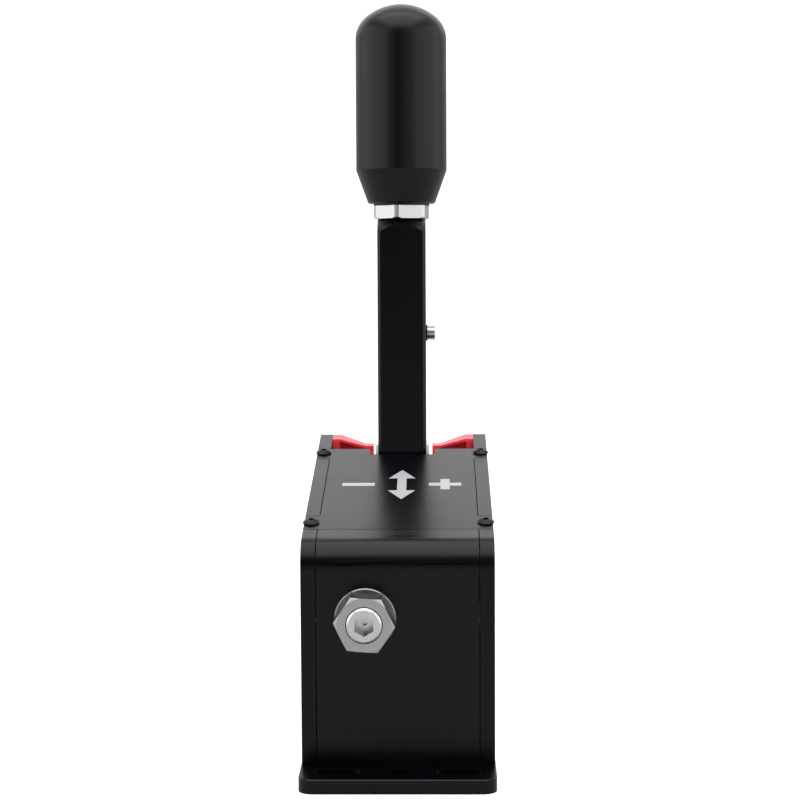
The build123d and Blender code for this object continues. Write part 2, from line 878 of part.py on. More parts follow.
def bearing_shields():
    """Thin shields seated in the outer rings, clear of the inner rings."""
    outer = bearing_outer_radius - bearing_outer_wall
    inner = shaft_radius + slip + bearing_inner_wall + seam
    shields = []
    for low, high in bearing_spans():
        for start in (low + shield_inset, high - shield_inset - shield_thickness):
            disc = along_x(outer, start, start + shield_thickness, pivot_y, pivot_height)
            shields.append(disc - along_x(inner, start, start + shield_thickness, pivot_y, pivot_height))
    return group(shields)


def lever_core():
    """Rocking core: hub, stem, stop tail and the magnet's boss."""
    hub_half = hub_width / 2
    core = along_x(hub_radius, -hub_half, hub_half, 0, 0)
    stem = block((-stem_width / 2, stem_width / 2), (-stem_depth / 2, stem_depth / 2), (0, stem_top))
    core += chamfer(stem.edges().filter_by(Axis.Z), stem_edge)
    core += block((-tail_width / 2, tail_width / 2), (-tail_depth / 2, tail_depth / 2), (-tail_end, 0))
    core += along_x(arm_boss_radius, 0, arm_boss_reach, 0, drive_arm)
    core -= along_x(hub_web_bore_radius, -hub_half, hub_half, 0, 0)
    for low, high in bearing_spans():
        core -= along_x(bearing_outer_radius + slip, low, high, 0, 0)
    core -= along_x(magnet_radius + slip, arm_boss_reach - magnet_length, arm_boss_reach, 0, drive_arm)
    pin_floor = drive_pin_seat - stem_width / 2
    core -= along_x(drive_pin_radius + slip, -stem_width / 2, pin_floor, 0, drive_arm)
    hole_floor = tube_width / 2 + lock_washer_thickness - lock_screw_length - slip
    core -= along_x(cap_m3.thread_radius + slip, hole_floor, stem_width / 2, 0, lock_height)
    return lever_place * core


def hall_magnet():
    """Round magnet in the core's boss."""
    start = arm_boss_reach - magnet_length
    return lever_place * along_x(magnet_radius, start, arm_boss_reach, 0, drive_arm)


def drive_pin():
    """Pin on the core's left flank that carries the roller."""
    inner_end = drive_pin_seat - stem_width / 2 - slip
    pin = along_x(drive_pin_radius, inner_end - drive_pin_length, inner_end, 0, drive_arm)
    low, high = drive_clip_span()
    groove = along_x(drive_pin_radius + slip, low, high, 0, drive_arm)
    groove -= along_x(drive_pin_radius - groove_depth, low, high, 0, drive_arm)
    return lever_place * (pin - groove)


def drive_clip_span():
    """Low and high X of the retaining ring outside the roller."""
    high = adjuster_x - roller_width / 2 - seam
    return high - clip_thickness, high


def drive_pin_clip():
    """Retaining ring that keeps the roller on its pin."""
    low, high = drive_clip_span()
    inner = drive_pin_radius - groove_depth + slip
    ring = along_x(inner + clip_radial - slip, low, high, 0, drive_arm)
    return lever_place * (ring - along_x(inner, low, high, 0, drive_arm))


def drive_roller():
    """Roller that runs in the yoke's slot."""
    low, high = adjuster_x - roller_width / 2, adjuster_x + roller_width / 2
    roller = along_x(roller_radius, low, high, 0, drive_arm)
    return lever_place * (roller - along_x(drive_pin_radius + running, low, high, 0, drive_arm))


def stop_block():
    """Block with two posts that hold the rubber bumpers."""
    inner = tail_depth / 2 + bumper_gap + bumper_length
    outer = inner + stop_post
    x_limits = (-stop_width / 2, stop_width / 2)
    floor = base_thickness + stop_floor
    top = base_thickness + stop_height
    body = block(x_limits, (tail_y - outer, tail_y + outer), (base_thickness, top))
    body -= block(x_limits, (tail_y - inner, tail_y + inner), (floor, top))
    for place in stop_screw_places():
        body -= place * screw_hole(sunk_m3, base_thickness + stop_screw_length)
    return body


def stop_bumpers():
    """Rubber bumpers before and behind the lever's tail."""
    inner = tail_depth / 2 + bumper_gap
    bumpers = []
    for side in (-1, 1):
        low, high = sorted((tail_y + side * inner, tail_y + side * (inner + bumper_length)))
        bumpers.append(along_y(bumper_radius, low, high, 0, bumper_height))
    return group(bumpers)


def lever_tube():
    """Square lever tube with a turned top, a cavity for the stem and the lock's slot."""
    half_x = tube_width / 2
    half_y = tube_depth / 2
    tube = block((-half_x, half_x), (-half_y, half_y), (tube_bottom, tube_top))
    tube = chamfer(tube.edges().filter_by(Axis.Z), tube_edge_chamfer)
    reach = tube_depth
    turned = Pos(0, 0, tube_top - reach / 2) * Cone(tube_top_radius + reach, tube_top_radius, reach)
    turned += along_z(tube_top_radius + reach, tube_bottom, tube_top - reach, 0, 0)
    tube &= turned
    cavity_x = stem_width / 2 + stem_gap
    cavity_y = stem_depth / 2 + stem_gap
    tube -= block((-cavity_x, cavity_x), (-cavity_y, cavity_y), (tube_bottom, stem_top + cavity_end_gap))
    tube -= along_z(stud_radius + slip, tube_top - stud_seat - slip, tube_top, 0, 0)
    half = lock_slot_width / 2
    low, high = lock_height - height_travel - half, lock_height + half
    slot = block((0, tube_width), (-half, half), (low + half, high - half))
    slot += along_x(half, 0, tube_width, 0, low + half) + along_x(half, 0, tube_width, 0, high - half)
    return lever_place * (tube - slot)


def slide_pads():
    """White pads on the two flanks of the lever tube."""
    pads = []
    for side in (-1, 1):
        x_limits = sorted((side * tube_width / 2, side * (tube_width / 2 + pad_thickness)))
        pad = block(x_limits, (-pad_width / 2, pad_width / 2), (tube_bottom, tube_bottom + pad_height))
        pads.append(lever_place * pad)
    return group(pads)


def height_lock_screw():
    """Cap screw that clamps the lever tube to its core."""
    place = Pos(tube_width / 2 + lock_washer_thickness + slip, 0, lock_height) * Rot(0, 90, 0)
    return lever_place * place * screw(cap_m3, lock_screw_length)


def height_lock_washer():
    """Washer under the lock screw's head."""
    low = tube_width / 2 + slip
    high = low + lock_washer_thickness
    ring = along_x(lock_washer_radius, low, high, 0, lock_height)
    return lever_place * (ring - along_x(cap_m3.thread_radius + slip, low, high, 0, lock_height))


def knob_stud():
    """Threaded stud from the lever's top into the knob."""
    return lever_place * along_z(stud_radius, tube_top - stud_seat, knob_base + stud_reach, 0, 0)


def knob_nut():
    """Thin bright hexagon nut with turned corners."""
    nut = extrude(hexagon(Plane.XY.offset(nut_base), nut_width, nut_turn), nut_height)
    turned = along_z(nut_corner_radius, nut_base, ring_base, 0, 0)
    turned = chamfer(turned.edges().group_by(Axis.Z)[0], nut_chamfer)
    return lever_place * ((nut & turned) - along_z(stud_radius + slip, nut_base, ring_base, 0, 0))


def knob_collar():
    """Dark ring between the nut and the knob."""
    ring = along_z(ring_radius, ring_base, knob_base, 0, 0)
    return lever_place * (ring - along_z(stud_radius + slip, ring_base, knob_base, 0, 0))


def knob():
    """Tall round knob: a cone at its foot, a straight grip and a crowned top."""
    crown_y = knob_height - knob_crown_radius
    edge_rise = math.sqrt(knob_crown_radius**2 - knob_radius**2)
    edge = (knob_radius, crown_y + edge_rise)
    middle = knob_radius / 2
    middle_rise = math.sqrt(knob_crown_radius**2 - middle**2)
    crown = ThreePointArc(edge, (middle, crown_y + middle_rise), (0, knob_height))
    sides = Polyline(
        (0, knob_height),
        (0, 0),
        (knob_foot_radius, 0),
        (knob_radius, knob_cone_height),
        edge,
    )
    profile = make_face(sides + crown)
    profile = fillet(nearest_corner(profile, *edge), knob_shoulder_radius)
    profile = fillet(nearest_corner(profile, knob_foot_radius, 0), knob_foot_edge)
    body = revolve(Plane.XZ * profile, Axis.Z)
    body -= along_z(insert_radius + slip, 0, insert_length, 0, 0)
    return lever_place * Pos(0, 0, knob_base) * body


def knob_insert():
    """Threaded metal insert inside the knob."""
    body = along_z(insert_radius, knob_base, knob_base + insert_length - slip, 0, 0)
    return lever_place * (body - along_z(stud_radius + slip, knob_base, knob_base + stud_reach, 0, 0))


def sensor_board():
    """Circuit board beside the lever, standing on the right side plate."""
    board_high = board_low + board_height
    board = block((board_inner, board_face), (board_front, board_rear), (board_low, board_high))
    for y, z in board_places():
        board -= along_x(cap_m2.thread_radius + slip, board_inner, board_face, y, z)
    return board


def board_standoffs():
    """Pillars between the board and the right side plate."""
    pillars = []
    for y, z in board_places():
        pillar = along_x(standoff_radius, board_face, inner_half, y, z)
        pillars.append(pillar - along_x(cap_m2.thread_radius + slip, board_face, inner_half, y, z))
    return group(pillars)


def board_screws():
    """Small screws that hold the board on its pillars."""
    length = board_thickness + board_standoff + board_screw_length - side_thickness
    return group(
        Pos(board_inner, y, z) * Rot(0, -90, 0) * screw(cap_m2, length) for y, z in board_places()
    )


def hall_sensor():
    """Sensor on the board that faces the lever's magnet."""
    z = pivot_height + drive_arm
    y = rod_y_at_pin
    x_limits = (board_inner - sensor_thickness, board_inner)
    y_limits = (y - sensor_width / 2, y + sensor_width / 2)
    return block(x_limits, y_limits, (z - sensor_height / 2, z + sensor_height / 2))


def board_components():
    """Controller chip and a row of small parts on the board."""
    x_limits = (board_inner - chip_thickness, board_inner)
    y = (board_front + board_rear) / 2
    z = board_low + chip_rise
    half = chip_width / 2
    parts = [block(x_limits, (y - half, y + half), (z - half, z + half))]
    small = small_chip_width / 2
    for index in range(small_chip_count):
        row_y = board_front + small_chip_pitch * (index + 1)
        row_z = board_low + board_height - small_chip_pitch
        parts.append(block(x_limits, (row_y - small, row_y + small), (row_z - small, row_z + small)))
    return group(parts)


def usb_socket():
    """Metal shell and tongue of the cable socket, level with the rear panel's outside."""
    rear = half_length - socket_recess
    x_middle = board_inner - socket_thickness / 2
    z_middle = socket_low + socket_width / 2
    plane = Plane(origin=(x_middle, rear, z_middle), x_dir=(0, 0, 1), z_dir=(0, 1, 0))
    shell = extrude(plane * SlotOverall(socket_width, socket_thickness), -socket_length)
    inner = SlotOverall(socket_width - 2 * socket_wall, socket_thickness - 2 * socket_wall)
    shell -= extrude(plane * inner, -(socket_length - tongue_inset))
    tongue_x = (x_middle - tongue_thickness / 2, x_middle + tongue_thickness / 2)
    tongue_y = (rear - socket_length + socket_wall, rear - tongue_inset)
    shell += block(tongue_x, tongue_y, (z_middle - tongue_width / 2, z_middle + tongue_width / 2))
    return shell


def screws_at(places, made):
    """The same screw at each of several places."""
    return group(place * made for place in places)


def sub_parts():
    """Every sub-part by name."""
    stop_length = base_thickness + stop_screw_length
    return {
        "base_plate": base_plate(),
        "left_side_plate": side_plate(-1),
        "right_side_plate": side_plate(1),
        "front_panel": front_panel(),
        "rear_panel": rear_panel(),
        "top_plate": top_plate(),
        "left_slot_guide": slot_guide(-1),
        "right_slot_guide": slot_guide(1),
        "top_plate_screws": screws_at(tab_screw_places(), domed_screw(button_m3, tab_screw_length)),
        "base_screws": screws_at(base_screw_places(), screw(sunk_m3, base_screw_length, sunk=True)),
        "panel_screws": screws_at(panel_screw_places(), screw(sunk_m25, panel_screw_length, sunk=True)),
        "slot_guide_screws": screws_at(guide_screw_places(), screw(sunk_m3, guide_screw_length, sunk=True)),
        "rod_guide_screws": screws_at(block_screw_places(), screw(sunk_m3, block_screw_length, sunk=True)),
        "pivot_end_screws": screws_at(pivot_screw_places(), screw(sunk_m5, pivot_screw_length, sunk=True)),
        "stop_block_screws": screws_at(stop_screw_places(), screw(sunk_m3, stop_length, sunk=True)),
        "preload_washer": preload_washer(),
        "preload_lock_nut": preload_lock_nut(),
        "preload_screw": preload_screw(),
        "spring_cup": spring_cup(),
        "front_spring": front_spring(),
        "rear_spring": rear_spring(),
        "centring_rod": centring_rod(),
        "rod_collar": rod_collar(),
        "rod_collar_clips": rod_collar_clips(),
        "rod_yoke": rod_yoke(),
        "yoke_jam_nut": yoke_jam_nut(),
        "rod_guide_block": rod_guide_block(),
        "rod_guide_bushing": rod_guide_bushing(),
        "pivot_shaft": pivot_shaft(),
        "pivot_spacers": pivot_spacers(),
        "bearing_inner_rings": bearing_inner_rings(),
        "bearing_outer_rings": bearing_outer_rings(),
        "bearing_balls": bearing_balls(),
        "bearing_shields": bearing_shields(),
        "lever_core": lever_core(),
        "hall_magnet": hall_magnet(),
        "drive_pin": drive_pin(),
        "drive_pin_clip": drive_pin_clip(),
        "drive_roller": drive_roller(),
        "stop_block": stop_block(),
        "stop_bumpers": stop_bumpers(),
        "lever_tube": lever_tube(),
        "slide_pads": slide_pads(),
        "height_lock_screw": height_lock_screw(),
        "height_lock_washer": height_lock_washer(),
        "knob_stud": knob_stud(),
        "knob_nut": knob_nut(),
        "knob_collar": knob_collar(),
        "knob": knob(),
        "knob_insert": knob_insert(),
        "sensor_board": sensor_board(),
        "board_standoffs": board_standoffs(),
        "board_screws": board_screws(),
        "hall_sensor": hall_sensor(),
        "board_components": board_components(),
        "usb_socket": usb_socket(),
    }


os.makedirs("parts", exist_ok=True)
for name, shape in sub_parts().items():
    export_step(shape, os.path.join("parts", f"{name}.step"))
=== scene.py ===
import logging
import math
from dataclasses import dataclass, field, replace
from enum import Enum
from typing import Any, Mapping, Union

import bmesh
import bpy
from mathutils import Matrix, Vector

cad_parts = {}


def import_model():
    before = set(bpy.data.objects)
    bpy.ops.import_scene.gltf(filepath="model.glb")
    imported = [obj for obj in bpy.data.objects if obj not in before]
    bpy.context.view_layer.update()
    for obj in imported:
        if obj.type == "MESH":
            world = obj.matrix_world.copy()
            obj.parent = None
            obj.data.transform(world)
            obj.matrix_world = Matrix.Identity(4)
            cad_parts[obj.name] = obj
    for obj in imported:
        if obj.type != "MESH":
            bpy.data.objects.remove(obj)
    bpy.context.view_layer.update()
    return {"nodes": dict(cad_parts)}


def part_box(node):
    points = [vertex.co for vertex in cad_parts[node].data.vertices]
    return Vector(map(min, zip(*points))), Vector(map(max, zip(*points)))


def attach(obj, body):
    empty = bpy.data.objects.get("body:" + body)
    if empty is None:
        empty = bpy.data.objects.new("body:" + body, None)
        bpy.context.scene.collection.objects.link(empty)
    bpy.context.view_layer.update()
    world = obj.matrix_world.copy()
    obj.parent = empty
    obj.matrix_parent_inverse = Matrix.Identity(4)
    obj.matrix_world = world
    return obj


log = logging.getLogger("shifter")

MM = 0.001
WHITE_LIGHT = (1.0, 1.0, 1.0)
NOISE_MIDDLE = 0.5
MIX_SHARE, MIX_FIRST, MIX_SECOND, MIX_RESULT = 0, 6, 7, 2
Colour = tuple[float, float, float]
Point = tuple[float, float, float]


class Grain(Enum):
    """Which way the fine texture of a surface runs, as stretches of its noise along X, Y and Z."""

    BLASTED = (1.0, 1.0, 1.0)
    LINES_ALONG_X = (0.03, 1.0, 1.0)
    LINES_ALONG_Z = (1.0, 1.0, 0.03)
    TURNED = (0.05, 0.05, 1.0)


class Wire:
    """One output of a shader node. Arithmetic on it adds Math nodes."""

    def __init__(self, shader: "Shader", socket: bpy.types.NodeSocket) -> None:
        """Keeps the shader that the socket belongs to."""
        self.shader = shader
        self.socket = socket

    def __add__(self, other: "Value") -> "Wire":
        """This value plus another."""
        return self.shader.maths("ADD", self, other)

    def __sub__(self, other: "Value") -> "Wire":
        """This value less another."""
        return self.shader.maths("SUBTRACT", self, other)

    def __rsub__(self, other: "Value") -> "Wire":
        """Another value less this one."""
        return self.shader.maths("SUBTRACT", other, self)

    def __mul__(self, other: "Value") -> "Wire":
        """This value times another."""
        return self.shader.maths("MULTIPLY", self, other)

    __radd__ = __add__
    __rmul__ = __mul__


Value = Union[Wire, float, Colour]


class Shader:
    """The node tree of one material, or of the world."""

    def __init__(self, tree: bpy.types.NodeTree) -> None:
        """Starts from an empty tree."""
        self.tree = tree
        self.tree.nodes.clear()

    def node(
        self,
        kind: str,
        settings: Mapping[str, Any] | None = None,
        values: Mapping[Union[str, int], Value] | None = None,
    ) -> bpy.types.Node:
        """Adds a node.

        Args:
            kind: The node's type.
            settings: Its properties.
            values: Numbers, colours or wires for its inputs, by name or place.

        Returns:
            The new node.
        """
        made = self.tree.nodes.new(kind)
        for name, setting in (settings or {}).items():
            setattr(made, name, setting)
        for name, value in (values or {}).items():
            self.put(made.inputs[name], value)
        return made

    def put(self, socket: bpy.types.NodeSocket, value: Value) -> None:
        """Links a wire to an input, or sets the input to a number or a colour.

        Args:
            socket: The input.
            value: What goes into it.
        """
        if isinstance(value, Wire):
            self.tree.links.new(value.socket, socket)
        elif isinstance(value, tuple) and socket.type == "RGBA":
            socket.default_value = (*value, 1.0)
        else:
            socket.default_value = value

    def wire(
        self,
        kind: str,
        settings: Mapping[str, Any] | None = None,
        values: Mapping[Union[str, int], Value] | None = None,
        output: Union[str, int] = 0,
    ) -> Wire:
        """Adds a node and gives one of its outputs.

        Args:
            kind: The node's type.
            settings: Its properties.
            values: Numbers, colours or wires for its inputs, by name or place.
            output: The output's name or place.

        Returns:
            The output.
        """
        return Wire(self, self.node(kind, settings, values).outputs[output])

    def maths(self, operation: str, first: Value, second: Value) -> Wire:
        """Adds a Math node.

        Args:
            operation: What it does with the numbers.
            first: The first number.
            second: The second number.

        Returns:
            The result.
        """
        return self.wire("ShaderNodeMath", {"operation": operation}, {0: first, 1: second})

    def place(self, stretch: Point = (1.0, 1.0, 1.0)) -> Wire:
        """The point on the piece, in metres, stretched along each axis."""
        point = self.wire("ShaderNodeTexCoord", output="Object")
        return self.vector("MULTIPLY", point, stretch)

    def vector(self, operation: str, first: Value, second: Value) -> Wire:
        """Adds a Vector Math node on two vectors."""
        return self.wire("ShaderNodeVectorMath", {"operation": operation}, {0: first, 1: second})

    def part(self, axis: str) -> Wire:
        """One coordinate of the point on the piece, in metres."""
        return self.wire("ShaderNodeSeparateXYZ", values={0: self.place()}, output=axis)

    def noise(self, scale: float, stretch: Point = (1.0, 1.0, 1.0), detail: float = 3.0) -> Wire:
        """Even noise about 0.5.

        Args:
            scale: How many cells it has to the metre.
            stretch: How much closer its cells lie along each axis.
            detail: How many finer layers it has.

        Returns:
            The noise.
        """
        values = {"Vector": self.place(stretch), "Scale": scale, "Detail": detail}
        return self.wire("ShaderNodeTexNoise", values=values, output="Fac")

    def band(self, value: Value, low: float, high: float) -> Wire:
        """A value's way from one level to another, smoothed at both ends.

        Args:
            value: The value.
            low: The level that gives 0.
            high: The level that gives 1.

        Returns:
            The share of the way.
        """
        settings = {"interpolation_type": "SMOOTHSTEP"}
        values = {"Value": value, "From Min": low, "From Max": high}
        return self.wire("ShaderNodeMapRange", settings, values)

    def blend(self, share: Value, first: Value, second: Value) -> Wire:
        """A mix of two colours.

        Args:
            share: How much of the second colour is in it.
            first: The first colour.
            second: The second colour.

        Returns:
            The mix.
        """
        values = {MIX_SHARE: share, MIX_FIRST: first, MIX_SECOND: second}
        return self.wire("ShaderNodeMix", {"data_type": "RGBA"}, values, MIX_RESULT)


@dataclass(frozen=True)
class Finish:
    """A surface with a fine grain, soft patches and lightly broken edges."""

    name: str
    slot: str
    colour: Colour
    metallic: float = 0.0
    roughness: float = 0.5
    reflectance: float = 0.5
    coat: float = 0.0
    grain: Grain = Grain.BLASTED
    grain_size: float = 0.25 * MM
    grain_depth: float = 0.006 * MM
    grain_roughness: float = 0.08
    patch_size: float = 20.0 * MM
    patch_roughness: float = 0.06
    patch_shade: float = 0.12
    edge_radius: float = 0.1 * MM
    edge_samples: int = 4

    def material(self) -> bpy.types.Material:
        """Makes the finish's material.

        Returns:
            The material.
        """
        made = bpy.data.materials.new(self.name)
        made.use_nodes = True
        shader = Shader(made.node_tree)
        grain = self.texture(shader)
        patch = shader.noise(1.0 / self.patch_size)
        surface = shader.wire(
            "ShaderNodeBsdfPrincipled",
            values={
                "Base Color": self.shade(shader, grain, patch),
                "Metallic": self.metallic,
                "Roughness": self.rough(grain, patch),
                "Specular IOR Level": self.reflectance,
                "Coat Weight": self.coat,
                "Normal": self.relief(shader, grain),
            },
        )
        shader.node("ShaderNodeOutputMaterial", values={"Surface": surface})
        made.diffuse_color = (*self.colour, 1.0)
        return made

    def texture(self, shader: Shader) -> Wire:
        """The fine grain as a value about 0.5."""
        return shader.noise(1.0 / self.grain_size, self.grain.value)

    def shade(self, shader: Shader, grain: Wire, patch: Wire) -> Wire:
        """The colour over the surface, a little lighter and darker in patches.

        Args:
            shader: The material's nodes.
            grain: The fine grain.
            patch: The soft patches.

        Returns:
            The colour.
        """
        light = tuple(min(1.0, part * (1.0 + self.patch_shade)) for part in self.colour)
        dark = tuple(part * (1.0 - self.patch_shade) for part in self.colour)
        mean = (grain + patch) * 0.5
        return shader.blend(mean, dark, light)

    def rough(self, grain: Wire, patch: Wire) -> Wire:
        """The roughness over the surface.

        Args:
            grain: The fine grain.
            patch: The soft patches.

        Returns:
            The roughness.
        """
        fine = (grain - NOISE_MIDDLE) * self.grain_roughness
        return fine + (patch - NOISE_MIDDLE) * self.patch_roughness + self.roughness

    def relief(self, shader: Shader, grain: Wire) -> Wire:
        """The grain as a bump on edges that are slightly rounded.

        Args:
            shader: The material's nodes.
            grain: The fine grain.

        Returns:
            The surface's direction.
        """
        radius = {"Radius": self.edge_radius}
        edge = shader.wire("ShaderNodeBevel", {"samples": self.edge_samples}, radius)
        values = {"Strength": 1.0, "Distance": self.grain_depth, "Height": grain, "Normal": edge}
        return shader.wire("ShaderNodeBump", values=values)


@dataclass(frozen=True)
class Turned(Finish):
    """A finish whose grain is the fine rings that a lathe leaves round an axis."""

    centre: Point = (0.0, 0.0, 0.0)
    across: Point = (1.0, 0.0, 1.0)
    ring_pitch: float = 0.12 * MM
    ring_detail: float = 2.0

    def texture(self, shader: Shader) -> Wire:
        """Noise that changes only with the distance from the axis.

        Args:
            shader: The material's nodes.

        Returns:
            The rings as a value about 0.5.
        """
        point = shader.wire("ShaderNodeTexCoord", output="Object")
        arm = shader.vector("SUBTRACT", point, self.centre)
        flat = shader.vector("MULTIPLY", arm, self.across)
        radius = shader.wire("ShaderNodeVectorMath", {"operation": "LENGTH"}, {0: flat}, "Value")
        settings = {"noise_dimensions": "1D"}
        values = {"W": radius, "Scale": 1.0 / self.ring_pitch, "Detail": self.ring_detail}
        return shader.wire("ShaderNodeTexNoise", settings, values, "Fac")


@dataclass(frozen=True)
class Bent(Finish):
    """A finish with rolling streaks where the sheet is bent."""

    streak_low: float = 66.0 * MM
    streak_fade: float = 3.0 * MM
    streak_pitch: float = 0.45 * MM
    streak_depth: float = 0.03 * MM
    streak_stretch: Point = (0.02, 1.0, 1.0)
    streak_detail: float = 4.0

    def texture(self, shader: Shader) -> Wire:
        """The grain, with long streaks across the bend above a height.

        Args:
            shader: The material's nodes.

        Returns:
            The grain as a value about 0.5.
        """
        grain = super().texture(shader)
        streaks = shader.noise(1.0 / self.streak_pitch, self.streak_stretch, self.streak_detail)
        height = shader.part("Z")
        bend = shader.band(height, self.streak_low - self.streak_fade, self.streak_low)
        return grain + (streaks - NOISE_MIDDLE) * bend * (self.streak_depth / self.grain_depth)


def grey(level: float) -> Colour:
    """A neutral colour."""
    return (level, level, level)


def plain(name: str, colour: Colour, **sizes: Any) -> Finish:
    """A finish named after its material slot."""
    return Finish(name, name, colour, **sizes)


BLACK = plain(
    "black_anodised",
    (0.0003, 0.0004, 0.0012),
    roughness=0.28,
    reflectance=0.172,
    grain_depth=0.004 * MM,
)
KNOB = plain("knob_black", grey(0.001), roughness=0.32, reflectance=0.19, grain_size=0.4 * MM)
RED = plain("red_anodised", (0.98, 0.05, 0.07), metallic=0.05, roughness=0.32, grain_size=0.15 * MM)
OXIDE = plain("black_oxide_steel", grey(0.001), roughness=0.33, reflectance=0.2)
STEEL = plain(
    "turned_steel", (0.35, 0.345, 0.335), metallic=1.0, roughness=0.3, grain=Grain.LINES_ALONG_X
)
BRIGHT = plain(
    "bright_steel", (0.43, 0.425, 0.415), metallic=1.0, roughness=0.3, grain=Grain.TURNED
)
GROUND = plain("ground_steel", (0.6, 0.6, 0.61), metallic=1.0, roughness=0.25)
SPRING = plain("spring_steel", (0.3, 0.3, 0.31), metallic=1.0, roughness=0.32)
ALUMINIUM = plain(
    "plain_aluminium", (0.7, 0.7, 0.72), metallic=1.0, roughness=0.38, grain=Grain.LINES_ALONG_Z
)
BRONZE = plain("bronze", (0.6, 0.42, 0.2), metallic=1.0, roughness=0.3, grain=Grain.TURNED)
WHITE = plain("white_pad", (0.9, 0.9, 0.89), roughness=0.55)
RUBBER = plain("bumper_rubber", grey(0.02), roughness=0.7, edge_radius=0.4 * MM)
BOARD = plain("circuit_board", (0.02, 0.12, 0.05), roughness=0.35, coat=0.4)
CHIP = plain("chip_black", grey(0.02), roughness=0.5)
MARK = Finish("bare_etch", "plain_aluminium", (0.42, 0.42, 0.43), metallic=0.5, roughness=0.5)
MAGNET = plain("magnet", grey(0.7), metallic=1.0, roughness=0.18)


@dataclass
class Frame:
    """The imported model's pieces, and the materials made so far."""

    nodes: dict[str, bpy.types.Object]
    materials: dict[str, bpy.types.Material] = field(default_factory=dict)

    def material(self, finish: Finish) -> bpy.types.Material:
        """Finds a finish's material, or makes it the first time.

        Args:
            finish: The finish.

        Returns:
            Its material.
        """
        if finish.name not in self.materials:
            self.materials[finish.name] = finish.material()
        return self.materials[finish.name]

    def dress(self, finish: Finish, *nodes: str) -> None:
        """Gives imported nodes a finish.

        Args:
            finish: What the nodes are covered in.
            nodes: The nodes' names.
        """
        for node in nodes:
            for place in self.nodes[node].material_slots:
                place.material = self.material(finish)
            log.info("dressed %s in %s", node, finish.name)

    def add(self, name: str, mesh: bpy.types.Mesh, body: str, finish: Finish) -> bpy.types.Object:
        """Adds a piece of the scene's own.

        Args:
            name: The piece's name.
            mesh: Its mesh, in place in the frame.
            body: The body that it moves with.
            finish: What it is covered in.

        Returns:
            The new piece.
        """
        piece = bpy.data.objects.new(name, mesh)
        bpy.context.scene.collection.objects.link(piece)
        mesh.materials.append(self.material(finish))
        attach(piece, body)
        log.info("added %s on %s", name, body)
        return piece


@dataclass(frozen=True)
class TopMark:
    """The mark on the top plate: minus, a double arrow and plus, etched to bare metal."""

    slope: float = math.radians(10.8)
    proud: float = 0.02 * MM
    centre_x: float = 0.5 * MM
    centre_from_rear: float = 44.0 * MM
    spread: float = 16.0 * MM
    bar_length: float = 12.0 * MM
    bar_width: float = 3.4 * MM
    arrow_length: float = 34.0 * MM
    arrow_width: float = 10.0 * MM
    arrow_head: float = 10.0 * MM

    def outlines(self) -> list[list[tuple[float, float]]]:
        """Draws the mark flat, about its centre.

        Returns:
            Anticlockwise outlines, across and along the plate.
        """
        half_bar = self.bar_width / 2
        reach = self.bar_length / 2
        tip = self.arrow_length / 2
        neck = tip - self.arrow_head
        wing = self.arrow_width / 2

        def bar(x: float, half_x: float, half_y: float) -> list[tuple[float, float]]:
            """A rectangle about a place on the mark's cross line."""
            left, right = x - half_x, x + half_x
            return [(left, -half_y), (right, -half_y), (right, half_y), (left, half_y)]

        arrow = [(0.0, -tip), (wing, -neck), (half_bar, -neck)]
        arrow += [(x, -y) for x, y in reversed(arrow)]
        arrow += [(-x, y) for x, y in reversed(arrow[1:-1])]
        plus = [(half_bar, -reach), (half_bar, -half_bar), (reach, -half_bar)]
        plus += [(x, -y) for x, y in reversed(plus)]
        plus += [(-x, -y) for x, y in plus]
        return [
            bar(-self.spread, reach, half_bar),
            arrow,
            [(x + self.spread, y) for x, y in plus],
        ]

    def build(self, frame: Frame) -> None:
        """Lays the mark on the plate.

        Args:
            frame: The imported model.
        """
        low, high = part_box("top_plate")
        rear = Vector((self.centre_x, high.y, high.z))
        along = Vector((0.0, math.cos(self.slope), math.sin(self.slope)))
        out = Vector((0.0, -math.sin(self.slope), math.cos(self.slope)))
        centre = rear - along * self.centre_from_rear
        shape = bmesh.new()
        for outline in self.outlines():
            floor = [shape.verts.new(centre + Vector((x, 0, 0)) + along * y) for x, y in outline]
            face = shape.faces.new(floor)
            raised = bmesh.ops.extrude_face_region(shape, geom=[face])["geom"]
            lifted = [item for item in raised if isinstance(item, bmesh.types.BMVert)]
            bmesh.ops.translate(shape, verts=lifted, vec=out * self.proud)
        bmesh.ops.recalc_face_normals(shape, faces=shape.faces)
        mesh = bpy.data.meshes.new("top_plate_mark")
        shape.to_mesh(mesh)
        shape.free()
        frame.add("top_plate_mark", mesh, "housing", MARK)


@dataclass(frozen=True)
class SoftBox:
    """Where a soft box hangs, what it is aimed at, how large it is and its watts."""

    at: Point
    aim: Point
    size: tuple[float, float]
    watts: float


